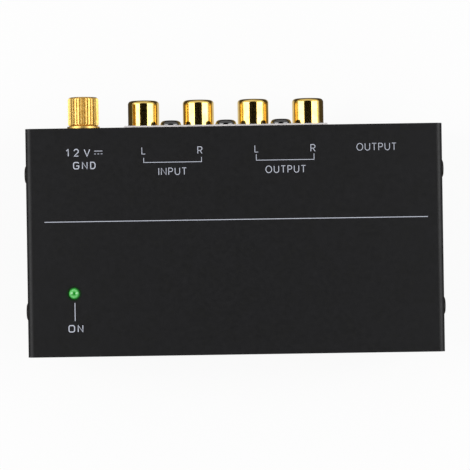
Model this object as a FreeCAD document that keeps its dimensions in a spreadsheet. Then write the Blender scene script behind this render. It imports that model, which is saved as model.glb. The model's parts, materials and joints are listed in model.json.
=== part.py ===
import FreeCAD, Part

import os
import re

import Sketcher

# Driving sizes in millimetres. Places are measured in the box frame: x to the right,
# y to the rear and z up, from the middle of the underside of the steel box.
SIZES = {
    # Steel box
    "body_width": 104,
    "body_depth": 57,
    "body_height": 28,
    "cover_gauge": 1.2,
    "chassis_gauge": 1.2,
    "bend_radius": 1.5,
    "lid_gap": 0.1,
    "tab_width": 10,
    "tab_height": 17.5,
    # Feet
    "foot_height": 2,
    "foot_radius": 4,
    "foot_inset": 9,
    "foot_chamfer": 0.4,
    # Pan head screws with a cross recess
    "screw_radius": 1.5,
    "screw_head_radius": 2.65,
    "screw_head_height": 1.5,
    "screw_head_rounding": 1.1,
    "screw_point": 0.5,
    "recess_width": 0.75,
    "recess_span": 3.2,
    "recess_depth": 0.9,
    "side_screw_inset": 11,
    "side_screw_height": 14,
    "side_screw_length": 5,
    "rca_screw_length": 8,
    "board_screw_end_gap": 0.3,
    "thread_gap": 0.05,
    "hole_gap": 0.2,
    # Circuit board and what carries it
    "board_gap": 1,
    "board_side_gap": 1.5,
    "board_gauge": 1.6,
    "standoff_height": 2.5,
    "standoff_radius": 2.6,
    "standoff_inset": 4.5,
    "standoff_inner_x": 23,
    "standoff_front_y": -21.5,
    "standoff_rear_y": 8,
    "pin_radius": 0.5,
    "pin_gap": 0.2,
    "pin_below": 0.8,
    "strip_gauge": 0.5,
    # Row of four phono sockets
    "rca_first_x": -22.9,
    "rca_pitch": 14,
    "rca_axis_height": 8.7,
    "rca_reach": 7.4,
    "rca_shell_radius": 4,
    "rca_shell_wall": 1,
    "rca_neck_step": 0.25,
    "rca_rim_rounding": 0.9,
    "rca_flange_radius": 4.8,
    "rca_flange_gauge": 0.8,
    "rca_insert_recess": 0.6,
    "rca_socket_radius": 1.65,
    "rca_socket_length": 6.2,
    "rca_contact_radius": 2,
    "rca_contact_wall": 0.36,
    "rca_contact_length": 9,
    "rca_contact_floor": 1,
    "rca_tail_setback": 2.2,
    "rca_housing_depth": 10,
    "rca_housing_height": 15.2,
    "rca_housing_margin": 5.9,
    "rca_screw_rise": 4,
    "rca_plate_gauge": 0.6,
    "rca_plate_margin": 4.5,
    "rca_plate_height": 15.5,
    "rca_plate_rise": 2.55,
    "rca_bar_height": 9,
    "rca_bar_hole": 2.6,
    "rca_bar_leg_width": 1.6,
    "nest_gap": 0.03,
    "panel_hole_gap": 0.3,
    # Headphone-size output socket
    "trs_offset": 2.2,
    "trs_axis_height": 8.7,
    "trs_width": 16,
    "trs_height": 15.6,
    "trs_length": 32,
    "trs_nose_radius": 5,
    "trs_bore_radius": 3.6,
    "trs_bore_depth": 31.6,
    "trs_bush_wall": 0.7,
    "trs_bush_length": 9.5,
    "trs_socket_radius": 3.25,
    "trs_lead_in": 1.6,
    "trs_lead_in_radius": 3.7,
    "trs_tip_depth": 26.5,
    "trs_ring_depth": 20.5,
    "trs_leaf_arm": 8.5,
    "trs_leaf_width": 3,
    "trs_leaf_root": 4.6,
    "trs_leaf_nose": 2.6,
    "trs_leaf_end": 4.2,
    "trs_leaf_tail": 2.6,
    "trs_slot_reach": 7,
    "trs_slot_height": 4.4,
    "trs_bush_tail_depth": 6,
    # Supply inlet and ground terminal, one above the other
    "supply_offset": 2,
    "dc_axis_height": 4.7,
    "dc_width": 9,
    "dc_height": 9.4,
    "dc_length": 14,
    "dc_nose_radius": 4,
    "dc_cavity_radius": 3.15,
    "dc_cavity_depth": 11.2,
    "dc_pin_radius": 1,
    "dc_pin_root_radius": 1.3,
    "dc_pin_recess": 0.8,
    "dc_contact_depth": 5.2,
    "dc_leaf_arm": 5.5,
    "dc_leaf_width": 2.2,
    "dc_leaf_root": 3.6,
    "dc_leaf_nose": 2.6,
    "dc_leaf_end": 3.6,
    "dc_leaf_tail": 2,
    "dc_slot_height": 3,
    "leaf_gauge": 0.4,
    "leaf_gap": 0.15,
    "nose_gap": 0.15,
    "ground_rise": 11.5,
    "knob_reach": 8,
    "knob_radius": 3.85,
    "knob_chamfer": 0.45,
    "knurl_depth": 0.3,
    "stud_radius": 2,
    "stud_length": 9,
    "stud_chamfer": 0.5,
    "stud_gap": 0.05,
    "washer_radius": 4.1,
    "washer_gauge": 0.6,
    "washer_gap": 0.2,
    "seat_gap": 0.05,
    "bush_radius": 3.6,
    "bush_length": 4.5,
    "bush_neck_radius": 2.9,
    "bush_neck_gap": 0.1,
    "lug_ring_radius": 4.2,
    "lug_leg_x": 6.6,
    "lug_leg_width": 1.8,
    # Power light
    "led_x": -40.3,
    "led_y": -12.7,
    "led_radius": 1.5,
    "led_flange_radius": 1.9,
    "led_flange_height": 1,
    "led_length": 5.3,
    "led_proud": 0.5,
    "led_lead_pitch": 2.54,
    "led_lead_width": 0.5,
    "led_spacer_radius": 2.6,
    "led_spacer_bore": 1.65,
    # Parts on the circuit board
    "can_radius": 3.15,
    "can_height": 11,
    "can_rounding": 0.5,
    "can_first_x": -23,
    "can_pitch": 12.5,
    "can_row_y": 8,
    "supply_can_radius": 4,
    "supply_can_height": 12.5,
    "supply_can_x": -32,
    "supply_can_first_y": 5,
    "supply_can_pitch": 9.5,
    "output_can_first_x": 27,
    "output_can_pitch": 9,
    "output_can_y": -11.5,
    "film_length": 7.2,
    "film_thickness": 3,
    "film_height": 7,
    "film_first_x": -19,
    "film_pitch": 11,
    "film_row_y": 0,
    "chip_length": 9.4,
    "chip_width": 6.4,
    "chip_height": 3.3,
    "chip_lift": 0.5,
    "chip_notch_radius": 0.8,
    "chip_notch_depth": 0.3,
    "chip_first_x": -12,
    "chip_pitch": 21,
    "chip_row_y": -8.5,
    "leg_pitch": 2.54,
    "leg_width": 0.6,
    "leg_gauge": 0.3,
    "leg_height": 1.6,
    "resistor_radius": 1.2,
    "resistor_waist": 0.95,
    "resistor_length": 6.3,
    "resistor_cap": 1.4,
    "resistor_lift": 0.4,
    "resistor_pitch": 11.5,
    "resistor_first_x": -28,
    "resistor_row_y": -16,
    "resistor_row_pitch": 4.2,
    "lead_radius": 0.3,
    "lead_span": 10.2,
    "disc_radius": 2,
    "disc_thickness": 1.6,
    "disc_lift": 1,
    "disc_first_x": -2.5,
    "disc_pitch": 19.5,
    "regulator_radius": 2.4,
    "regulator_height": 4.6,
    "regulator_flat": 1.2,
    "regulator_lift": 2.5,
    "regulator_x": -33,
    "regulator_y": -11.5,
    "regulator_leg_pitch": 1.27,
    "diode_radius": 1.35,
    "diode_length": 5.2,
    "diode_x": -41,
    "diode_y": -1,
}

RCA_COUNT = 4
KNURL_COUNT = 32
CAN_COUNT = 4
FILM_COUNT = 4
CHIP_COUNT = 2
RESISTOR_COLUMNS = 6
RESISTOR_ROWS = 2
CHIP_SIDE_LEGS = 4

# Levels and places that several pieces share, in the box frame
REAR = "(body_depth / 2)"
PANEL_INNER = f"({REAR} - chassis_gauge)"
BOARD_BOTTOM = "(chassis_gauge + standoff_height)"
BOARD_TOP = f"({BOARD_BOTTOM} + board_gauge)"
PIN_END = f"({BOARD_BOTTOM} - pin_below)"
INNER_TOP = "(body_height - cover_gauge)"
CHASSIS_WIDTH = "(body_width - 2 * cover_gauge - 2 * lid_gap)"
BOARD_SIDE = f"({CHASSIS_WIDTH} / 2 - chassis_gauge - board_side_gap)"
STANDOFF_SIDE = f"({BOARD_SIDE} - standoff_inset)"
RCA_MIDDLE = f"(rca_first_x + {RCA_COUNT - 1} * rca_pitch / 2)"
RCA_SPAN = f"({RCA_COUNT - 1} * rca_pitch)"
RCA_AXIS = f"({BOARD_TOP} + rca_axis_height)"
RCA_BACK = f"({PANEL_INNER} - rca_housing_depth)"
RCA_NECK = "(rca_shell_radius - rca_neck_step)"
RCA_TAIL_Y = f"({RCA_BACK} - rca_tail_setback)"
TRS_AXIS = f"({BOARD_TOP} + trs_axis_height)"
DC_AXIS = f"({BOARD_TOP} + dc_axis_height)"
GROUND_AXIS = f"({DC_AXIS} + ground_rise)"
TAP_RADIUS = "(screw_radius + thread_gap)"
CLEAR_RADIUS = "(screw_radius + hole_gap)"
BUSH_RADIUS = "(trs_socket_radius + trs_bush_wall)"
INNER_SIDE = "(body_width / 2 - cover_gauge)"
RCA_HALF = f"({RCA_SPAN} / 2 + rca_housing_margin)"
TRS_X = f"(({RCA_MIDDLE} + {RCA_HALF} + {INNER_SIDE}) / 2 - trs_offset)"
SUPPLY_X = f"(({RCA_MIDDLE} - {RCA_HALF} - {INNER_SIDE}) / 2 + supply_offset)"
LEG_X = f"({SUPPLY_X} - lug_leg_x)"
BAR_LEG_X = f"({RCA_SPAN} / 2 + rca_plate_margin - rca_bar_leg_width / 2)"

RCA_NAMES = ["in_left", "in_right", "out_left", "out_right"]

FACE_REAR = FreeCAD.Rotation(FreeCAD.Vector(1, 0, 0), -90)
FACE_RIGHT = FreeCAD.Rotation(FreeCAD.Vector(0, 1, 0), 90)
FACE_LEFT = FreeCAD.Rotation(FreeCAD.Vector(0, 1, 0), -90)
UPRIGHT = FreeCAD.Rotation()
HALF_TURN = FreeCAD.Rotation(FreeCAD.Vector(0, 0, 1), 180)
SIDE_SWAP = FreeCAD.Rotation(FreeCAD.Vector(0, 1, 0), 180)
QUARTER_TURN = FreeCAD.Rotation(FreeCAD.Vector(0, 0, 1), 90)

doc = FreeCAD.newDocument("phono_preamp")
nodes = []


def write_sheet():
    """Put every driving size in a spreadsheet cell with its own alias."""
    sheet = doc.addObject("Spreadsheet::Sheet", "sizes")
    for row, (alias, value) in enumerate(SIZES.items(), start=1):
        sheet.set(f"A{row}", alias)
        sheet.set(f"B{row}", str(value))
        sheet.setAlias(f"B{row}", alias)
    doc.recompute()


def bind(item, property_name, text):
    """Tie a property to an expression whose words are aliases of the sheet."""

    def cell(match):
        word = match.group(0)
        return f"sizes.{word}" if word in SIZES else word

    item.setExpression(property_name, re.sub(r"[a-z][a-z_]*", cell, str(text)))


def seat(item, x=0, y=0, z=0, turn=UPRIGHT):
    """Place something in the box frame."""
    item.Placement = FreeCAD.Placement(FreeCAD.Vector(), turn)
    bind(item, "Placement.Base.x", x)
    bind(item, "Placement.Base.y", y)
    bind(item, "Placement.Base.z", z)


def keep(item, label, x=0, y=0, z=0, turn=UPRIGHT):
    """Name a finished sub-part and stand it on its feet, centred over the whole part's footprint."""
    item.Label = label
    seat(item, x, f"{y} - knob_reach / 2", f"{z} + foot_height", turn)
    nodes.append(item)


def sketch_on(body, role, offset=0):
    """New sketch on one of the body's own origin planes, moved along its normal."""
    sketch = body.newObject("Sketcher::SketchObject", f"{body.Name}_sketch")
    plane = next(p for p in body.Origin.OriginFeatures if p.Role == role)
    sketch.AttachmentSupport = (plane, "")
    sketch.MapMode = "FlatFace"
    bind(sketch, "AttachmentOffset.Base.z", offset)
    return sketch


def tie_point(sketch, geometry, point, x, y):
    for axis, text in (("DistanceX", x), ("DistanceY", y)):
        rule = sketch.addConstraint(Sketcher.Constraint(axis, -1, 1, geometry, point, 1.0))
        bind(sketch, f"Constraints[{rule}]", text)


def outline(sketch, corners):
    """Closed outline of straight lines through corners given as pairs of expressions."""
    count = len(corners)
    ring = [FreeCAD.Rotation(FreeCAD.Vector(0, 0, 1), 360 * i / count).multVec(FreeCAD.Vector(9, 0, 0))
            for i in range(count)]
    lines = [sketch.addGeometry(Part.LineSegment(ring[i], ring[(i + 1) % count]), False)
             for i in range(count)]
    for i in range(count):
        sketch.addConstraint(Sketcher.Constraint("Coincident", lines[i], 2, lines[(i + 1) % count], 1))
    for line, (x, y) in zip(lines, corners):
        tie_point(sketch, line, 1, x, y)


def rectangle(sketch, x_low, x_high, y_low, y_high):
    outline(sketch, [(x_low, y_low), (x_high, y_low), (x_high, y_high), (x_low, y_high)])


def circle(sketch, x, y, radius):
    ring = sketch.addGeometry(Part.Circle(FreeCAD.Vector(5, 5, 0), FreeCAD.Vector(0, 0, 1), 1), False)
    tie_point(sketch, ring, 3, x, y)
    rule = sketch.addConstraint(Sketcher.Constraint("Radius", ring, 1.0))
    bind(sketch, f"Constraints[{rule}]", radius)


def pad(body, sketch, length, symmetric=False, reverse=False):
    feature = body.newObject("PartDesign::Pad", f"{body.Name}_pad")
    feature.Profile = sketch
    feature.Reversed = reverse
    if symmetric:
        feature.SideType = "Symmetric"
    bind(feature, "Length", length)
    doc.recompute()
    return feature


def pocket(body, sketch, depth=None, symmetric=False, reverse=False):
    """Cut a sketch out of the body, all the way when no depth is given, and see that it cut."""
    before = body.Shape.Volume
    feature = body.newObject("PartDesign::Pocket", f"{body.Name}_pocket")
    feature.Profile = sketch
    feature.Reversed = reverse
    if symmetric:
        feature.SideType = "Symmetric"
    if depth is None:
        feature.Type = "ThroughAll"
    else:
        bind(feature, "Length", depth)
    doc.recompute()
    if body.Shape.Volume >= before:
        raise RuntimeError(f"{feature.Name} cuts nothing")
    return feature


def spin(body, corners):
    """Solid of revolution about z from an outline of (radius, height) pairs."""
    sketch = sketch_on(body, "XZ_Plane")
    outline(sketch, corners)
    feature = body.newObject("PartDesign::Revolution", f"{body.Name}_turning")
    feature.Profile = sketch
    feature.ReferenceAxis = (sketch, ["V_Axis"])
    doc.recompute()
    return feature


def turned(name, corners):
    body = doc.addObject("PartDesign::Body", name)
    spin(body, corners)
    return body


def soften(body, kind, size, wanted):
    """Fillet or chamfer the edges of the body's last feature that pass a test."""
    base = body.Tip
    names = [f"Edge{i}" for i, edge in enumerate(base.Shape.Edges, start=1) if wanted(edge)]
    feature = body.newObject(f"PartDesign::{kind}", f"{body.Name}_{kind.lower()}")
    feature.Base = (base, names)
    bind(feature, "Radius" if kind == "Fillet" else "Size", size)
    doc.recompute()
    return feature


def box(name, x, y, z):
    """Block between pairs of expressions along each axis."""
    block = doc.addObject("Part::Box", name)
    for side, (low, high) in (("Length", x), ("Width", y), ("Height", z)):
        bind(block, side, f"({high}) - ({low})")
    seat(block, x[0], y[0], z[0])
    return block


def rod(name, radius, length, x=0, y=0, z=0, turn=UPRIGHT):
    cylinder = doc.addObject("Part::Cylinder", name)
    bind(cylinder, "Radius", radius)
    bind(cylinder, "Height", length)
    seat(cylinder, x, y, z, turn)
    return cylinder


def joined(name, pieces):
    whole = doc.addObject("Part::MultiFuse", name)
    whole.Shapes = pieces
    return whole


def less(name, piece, tools):
    result = doc.addObject("Part::Cut", name)
    result.Base = piece
    result.Tool = tools[0] if len(tools) == 1 else joined(f"{name}_tools", tools)
    return result


def group(name, pieces):
    """Several separate solids that share one node."""
    compound = doc.addObject("Part::Compound", name)
    compound.Links = pieces
    return compound


def copies(name, master, places):
    """One node of equal pieces, each a link to the master at (x, y, z, turn)."""
    links = []
    for x, y, z, turn in places:
        link = doc.addObject("App::Link", f"{name}_copy")
        link.LinkedObject = master
        seat(link, x, y, z, turn)
        links.append(link)
    return group(name, links)


def rca_x(index):
    return f"(rca_first_x + {index} * rca_pitch)"


def rca_screw_x(index):
    return f"(rca_first_x + {index + 0.5} * rca_pitch)"


RCA_SCREW_Z = f"({RCA_AXIS} + rca_screw_rise)"
STANDOFFS = [
    (f"-{STANDOFF_SIDE}", "standoff_front_y"),
    (STANDOFF_SIDE, "standoff_front_y"),
    (f"-{STANDOFF_SIDE}", "standoff_rear_y"),
    ("standoff_inner_x", "standoff_rear_y"),
]


def make_top_cover():
    """Sheet folded to an upside-down U: the top and both sides."""
    body = doc.addObject("PartDesign::Body", "top_cover")
    half = "body_width / 2"
    inside = INNER_SIDE
    profile = sketch_on(body, "XZ_Plane")
    outline(profile, [
        (f"-{half}", 0), (f"-{inside}", 0), (f"-{inside}", INNER_TOP), (inside, INNER_TOP),
        (inside, 0), (half, 0), (half, "body_height"), (f"-{half}", "body_height"),
    ])
    pad(body, profile, "body_depth", symmetric=True)
    limits = body.Shape.BoundBox

    def runs_along_depth(edge):
        return abs(edge.BoundBox.YLength - limits.YLength) < 1e-6

    def outer_bend(edge):
        return runs_along_depth(edge) and edge.CenterOfMass.z > limits.ZMax - 1e-6

    def inner_bend(edge):
        underside = limits.ZMax - SIZES["cover_gauge"]
        return runs_along_depth(edge) and abs(edge.CenterOfMass.z - underside) < 1e-6

    soften(body, "Fillet", "bend_radius", outer_bend)
    soften(body, "Fillet", "bend_radius - cover_gauge", inner_bend)
    screw_holes = sketch_on(body, "YZ_Plane")
    for side in ("", "-"):
        circle(screw_holes, f"{side}({REAR} - side_screw_inset)", "side_screw_height", CLEAR_RADIUS)
    pocket(body, screw_holes, symmetric=True)
    light_hole = sketch_on(body, "XY_Plane", "body_height")
    circle(light_hole, "led_x", "led_y", "led_radius + nose_gap")
    pocket(body, light_hole, "2 * cover_gauge")
    keep(body, "top_cover")


def cut_rear_panel(body):
    """Openings for the sockets, the screws between them and the ground terminal."""
    holes = sketch_on(body, "XZ_Plane")
    for index in range(RCA_COUNT):
        circle(holes, rca_x(index), RCA_AXIS, "rca_shell_radius + panel_hole_gap")
    for index in range(RCA_COUNT - 1):
        circle(holes, rca_screw_x(index), RCA_SCREW_Z, CLEAR_RADIUS)
    circle(holes, TRS_X, TRS_AXIS, "trs_nose_radius + nose_gap")
    circle(holes, SUPPLY_X, DC_AXIS, "dc_nose_radius + nose_gap")
    circle(holes, SUPPLY_X, GROUND_AXIS, "bush_neck_radius + bush_neck_gap")
    pocket(body, holes)


def make_chassis():
    """Floor with the front and rear panels and four side tabs bent up from it."""
    body = doc.addObject("PartDesign::Body", "chassis")
    height = f"({INNER_TOP} - lid_gap)"
    profile = sketch_on(body, "YZ_Plane")
    outline(profile, [
        (f"-{REAR}", 0), (REAR, 0), (REAR, height), (PANEL_INNER, height),
        (PANEL_INNER, "chassis_gauge"), (f"-{PANEL_INNER}", "chassis_gauge"),
        (f"-{PANEL_INNER}", height), (f"-{REAR}", height),
    ])
    pad(body, profile, CHASSIS_WIDTH, symmetric=True)
    limits = body.Shape.BoundBox

    def floor_edge(edge):
        flat = abs(edge.BoundBox.XLength - limits.XLength) < 1e-6
        return flat and edge.CenterOfMass.z < limits.ZMin + 1e-6

    soften(body, "Fillet", "bend_radius", floor_edge)
    tabs = sketch_on(body, "XY_Plane")
    for across in ("", "-"):
        for along in ("", "-"):
            middle = f"{along}({REAR} - side_screw_inset)"
            rectangle(tabs, f"{across}({CHASSIS_WIDTH} / 2 - chassis_gauge)", f"{across}{CHASSIS_WIDTH} / 2",
                      f"{middle} - tab_width / 2", f"{middle} + tab_width / 2")
    pad(body, tabs, "tab_height")
    tapped = sketch_on(body, "YZ_Plane")
    for side in ("", "-"):
        circle(tapped, f"{side}({REAR} - side_screw_inset)", "side_screw_height", TAP_RADIUS)
    pocket(body, tapped, symmetric=True)
    cut_rear_panel(body)
    keep(body, "chassis")


def screw(name, length):
    """Pan head machine screw: its seat at z = 0, its head up."""
    body = turned(name, [
        (0, f"-({length})"), ("screw_radius - screw_point", f"-({length})"),
        ("screw_radius", f"-({length}) + screw_point"), ("screw_radius", 0),
        ("screw_head_radius", 0), ("screw_head_radius", "screw_head_height"), (0, "screw_head_height"),
    ])
    top = body.Shape.BoundBox.ZMax
    soften(body, "Fillet", "screw_head_rounding", lambda edge: edge.BoundBox.ZMin > top - 1e-6)
    recess = sketch_on(body, "XY_Plane", "screw_head_height")
    arm = "recess_span / 2"
    half = "recess_width / 2"
    outline(recess, [
        (arm, f"-{half}"), (arm, half), (half, half), (half, arm), (f"-{half}", arm), (f"-{half}", half),
        (f"-{arm}", half), (f"-{arm}", f"-{half}"), (f"-{half}", f"-{half}"), (f"-{half}", f"-{arm}"),
        (half, f"-{arm}"), (half, f"-{half}"),
    ])
    pocket(body, recess, "recess_depth")
    return body


def make_screws():
    side = screw("side_screw", "side_screw_length")
    places = []
    for across, turn in (("", FACE_RIGHT), ("-", FACE_LEFT)):
        for along in ("", "-"):
            places.append((f"{across}body_width / 2", f"{along}({REAR} - side_screw_inset)",
                           "side_screw_height", turn))
    keep(copies("side_screws", side, places), "side_screws")

    between = screw("socket_screw", "rca_screw_length")
    places = [(rca_screw_x(index), f"{REAR} + rca_plate_gauge", RCA_SCREW_Z, FACE_REAR)
              for index in range(RCA_COUNT - 1)]
    keep(copies("rca_screws", between, places), "rca_screws")

    board = screw("board_screw", "board_gauge + standoff_height - board_screw_end_gap")
    keep(copies("board_screws", board, [(x, y, BOARD_TOP, UPRIGHT) for x, y in STANDOFFS]), "board_screws")


def make_feet():
    foot = turned("rubber_foot", [
        (0, "-foot_height"), ("foot_radius - foot_chamfer", "-foot_height"),
        ("foot_radius", "foot_chamfer - foot_height"), ("foot_radius", 0), (0, 0),
    ])
    places = [(f"{across}(body_width / 2 - foot_inset)", f"{along}(body_depth / 2 - foot_inset)", 0, UPRIGHT)
              for across in ("", "-") for along in ("", "-")]
    keep(copies("rubber_feet", foot, places), "rubber_feet")


def make_board():
    """Circuit board with holes for its screws and for every pin that passes through it."""
    body = doc.addObject("PartDesign::Body", "circuit_board")
    shape = sketch_on(body, "XY_Plane")
    half_depth = f"({PANEL_INNER} - board_gap)"
    rectangle(shape, f"-{BOARD_SIDE}", BOARD_SIDE, f"-{half_depth}", half_depth)
    pad(body, shape, "board_gauge")
    holes = sketch_on(body, "XY_Plane", "board_gauge")
    for x, y in STANDOFFS:
        circle(holes, x, y, CLEAR_RADIUS)
    for index in range(RCA_COUNT):
        circle(holes, rca_x(index), RCA_TAIL_Y, "pin_radius + pin_gap")
    for side in ("-", "+"):
        circle(holes, f"led_x {side} led_lead_pitch / 2", "led_y", "led_lead_width + pin_gap")
        leg = f"({RCA_MIDDLE} {side} {BAR_LEG_X})"
        reach = "(rca_bar_leg_width / 2 + pin_gap)"
        rectangle(holes, f"{leg} - {reach}", f"{leg} + {reach}",
                  f"{RCA_BACK} - strip_gauge - pin_gap", f"{RCA_BACK} + pin_gap")
    for x_low, x_high, y_low, y_high in strip_tails():
        rectangle(holes, f"{x_low} - pin_gap", f"{x_high} + pin_gap",
                  f"{y_low} - pin_gap", f"{y_high} + pin_gap")
    pocket(body, holes)
    keep(body, "circuit_board", z=BOARD_BOTTOM)

    standoff = turned("board_standoff", [
        (TAP_RADIUS, 0), ("standoff_radius", 0), ("standoff_radius", "standoff_height"),
        (TAP_RADIUS, "standoff_height"),
    ])
    places = [(x, y, "chassis_gauge", UPRIGHT) for x, y in STANDOFFS]
    keep(copies("board_standoffs", standoff, places), "board_standoffs")


# Flat terminals of the two moulded sockets: (low x, high x, low y, high y) in the box frame
TRS_TIP_ROOT = "(trs_tip_depth - trs_leaf_arm)"
TRS_RING_ROOT = "(trs_ring_depth + trs_leaf_arm)"
DC_ROOT = "(dc_contact_depth + dc_leaf_arm)"
TIP_STRIP = (f"{TRS_X} + trs_leaf_root - strip_gauge", f"{TRS_X} + trs_leaf_root + 3 * strip_gauge",
             f"{REAR} - {TRS_TIP_ROOT} + leaf_gap", f"{REAR} - {TRS_TIP_ROOT} + leaf_gap + strip_gauge")
RING_STRIP = (f"{TRS_X} - trs_leaf_root - 3 * strip_gauge", f"{TRS_X} - trs_leaf_root + strip_gauge",
              f"{REAR} - {TRS_RING_ROOT} - leaf_gap - strip_gauge", f"{REAR} - {TRS_RING_ROOT} - leaf_gap")
BUSH_STRIP = (f"{TRS_X} - 2 * strip_gauge", f"{TRS_X} + 2 * strip_gauge",
              f"{REAR} - trs_bush_tail_depth - strip_gauge", f"{REAR} - trs_bush_tail_depth")
DC_STRIP = (f"{SUPPLY_X} + dc_leaf_root - strip_gauge", f"{SUPPLY_X} + dc_leaf_root + strip_gauge",
            f"{REAR} - {DC_ROOT} - leaf_gap - strip_gauge", f"{REAR} - {DC_ROOT} - leaf_gap")
DC_PIN_STRIP = (f"{SUPPLY_X} - 2 * strip_gauge", f"{SUPPLY_X} + 2 * strip_gauge",
                f"{PANEL_INNER} - dc_length - strip_gauge", f"{PANEL_INNER} - dc_length")
LUG_LEG = (f"{LEG_X} - lug_leg_width / 2", f"{LEG_X} + lug_leg_width / 2",
           f"{PANEL_INNER} - strip_gauge", PANEL_INNER)


def strip_tails():
    return [TIP_STRIP, RING_STRIP, BUSH_STRIP, DC_STRIP, DC_PIN_STRIP]


def strip(name, sides, z_low, z_high, gap=0):
    x_low, x_high, y_low, y_high = sides
    return box(name, (f"{x_low} - {gap}", f"{x_high} + {gap}"), (f"{y_low} - {gap}", f"{y_high} + {gap}"),
               (z_low, z_high))


def make_rca_housing():
    """Moulded block behind the panel that carries the four phono sockets."""
    body = doc.addObject("PartDesign::Body", "rca_housing")
    face = sketch_on(body, "XZ_Plane", f"-{PANEL_INNER}")
    rectangle(face, f"{RCA_MIDDLE} - {RCA_HALF}", f"{RCA_MIDDLE} + {RCA_HALF}", BOARD_TOP,
              f"{BOARD_TOP} + rca_housing_height")
    pad(body, face, "rca_housing_depth")
    bores = sketch_on(body, "XZ_Plane", f"-{PANEL_INNER}")
    seats = sketch_on(body, "XZ_Plane", f"-{PANEL_INNER}")
    for index in range(RCA_COUNT):
        circle(bores, rca_x(index), RCA_AXIS, f"{RCA_NECK} + nest_gap")
        circle(seats, rca_x(index), RCA_AXIS, "rca_flange_radius + nest_gap")
    pocket(body, bores, "rca_housing_depth", reverse=True)
    pocket(body, seats, "rca_flange_gauge", reverse=True)
    screws = sketch_on(body, "XZ_Plane", f"-{PANEL_INNER}")
    for index in range(RCA_COUNT - 1):
        circle(screws, rca_screw_x(index), RCA_SCREW_Z, TAP_RADIUS)
    pocket(body, screws, "rca_screw_length", reverse=True)
    keep(body, "rca_housing")


def make_rca_plates():
    """Thin plate outside the panel, and the ground bar on the back of the block."""
    plate = doc.addObject("PartDesign::Body", "rca_face_plate")
    face = sketch_on(plate, "XZ_Plane", f"-{REAR}")
    half = f"({RCA_SPAN} / 2 + rca_plate_margin)"
    middle = f"({RCA_AXIS} + rca_plate_rise)"
    rectangle(face, f"{RCA_MIDDLE} - {half}", f"{RCA_MIDDLE} + {half}",
              f"{middle} - rca_plate_height / 2", f"{middle} + rca_plate_height / 2")
    for index in range(RCA_COUNT):
        circle(face, rca_x(index), RCA_AXIS, "rca_shell_radius + nose_gap")
    for index in range(RCA_COUNT - 1):
        circle(face, rca_screw_x(index), RCA_SCREW_Z, CLEAR_RADIUS)
    pad(plate, face, "rca_plate_gauge", reverse=True)
    keep(plate, "rca_face_plate")

    bar = doc.addObject("PartDesign::Body", "rca_ground_bar")
    face = sketch_on(bar, "XZ_Plane", f"-{RCA_BACK}")
    outer = f"({BAR_LEG_X} + rca_bar_leg_width / 2)"
    inner = f"({BAR_LEG_X} - rca_bar_leg_width / 2)"
    low = f"({RCA_AXIS} - rca_bar_height / 2)"
    high = f"({RCA_AXIS} + rca_bar_height / 2)"
    outline(face, [
        (f"{RCA_MIDDLE} - {outer}", PIN_END), (f"{RCA_MIDDLE} - {inner}", PIN_END),
        (f"{RCA_MIDDLE} - {inner}", low), (f"{RCA_MIDDLE} + {inner}", low),
        (f"{RCA_MIDDLE} + {inner}", PIN_END), (f"{RCA_MIDDLE} + {outer}", PIN_END),
        (f"{RCA_MIDDLE} + {outer}", high), (f"{RCA_MIDDLE} - {outer}", high),
    ])
    for index in range(RCA_COUNT):
        circle(face, rca_x(index), RCA_AXIS, "rca_bar_hole")
    pad(bar, face, "strip_gauge")
    keep(bar, "rca_ground_bar")


def rca_shell(name):
    """Plated outer contact: a tube with a seating flange, a narrower neck and a rounded rim."""
    inside = "(rca_shell_radius - rca_shell_wall)"
    end = "(rca_housing_depth + chassis_gauge + rca_reach)"
    flange = "(rca_housing_depth - rca_flange_gauge)"
    outside = "(rca_housing_depth + chassis_gauge + rca_plate_gauge)"
    body = turned(name, [
        (inside, 0), (RCA_NECK, 0), (RCA_NECK, flange), ("rca_flange_radius", flange),
        ("rca_flange_radius", "rca_housing_depth"), (RCA_NECK, "rca_housing_depth"), (RCA_NECK, outside),
        ("rca_shell_radius", outside), ("rca_shell_radius", end), (inside, end),
    ])
    top = body.Shape.BoundBox.ZMax
    middle_radius = SIZES["rca_shell_radius"] - SIZES["rca_shell_wall"] / 2

    def outer_rim(edge):
        return edge.BoundBox.ZMin > top - 1e-6 and edge.BoundBox.XLength > 2 * middle_radius

    soften(body, "Fillet", "rca_rim_rounding", outer_rim)
    return body


def rca_insert(name):
    """Coloured insulator with the hole for the plug's pin and a wider seat behind it."""
    outside = "(rca_shell_radius - rca_shell_wall - nest_gap)"
    end = "(rca_housing_depth + chassis_gauge + rca_reach - rca_insert_recess)"
    step = f"({end} - rca_socket_length)"
    return turned(name, [
        ("rca_contact_radius + nest_gap", 0), (outside, 0), (outside, end), ("rca_socket_radius", end),
        ("rca_socket_radius", step), ("rca_contact_radius + nest_gap", step),
    ])


def rca_contact(name):
    """Spring tube for the plug's pin, with its tail turned down into the board."""
    end = "(rca_housing_depth + chassis_gauge + rca_reach - rca_insert_recess - rca_socket_length - nest_gap)"
    start = f"({end} - rca_contact_length)"
    tube = turned(f"{name}_tube", [
        (0, start), ("rca_contact_radius", start), ("rca_contact_radius", end),
        ("rca_contact_radius - rca_contact_wall", end),
        ("rca_contact_radius - rca_contact_wall", f"{start} + rca_contact_floor"),
        (0, f"{start} + rca_contact_floor"),
    ])
    tail = rod(f"{name}_tail", "pin_radius", f"{start} + rca_tail_setback", z="-rca_tail_setback")
    # The tube is turned to the rear later, so its own +y points down to the board
    drop = rod(f"{name}_drop", "pin_radius", f"{RCA_AXIS} - {PIN_END}", z="-rca_tail_setback", turn=FACE_REAR)
    elbow = doc.addObject("Part::Sphere", f"{name}_elbow")
    bind(elbow, "Radius", "pin_radius")
    seat(elbow, z="-rca_tail_setback")
    return joined(name, [tube, tail, drop, elbow])


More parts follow.
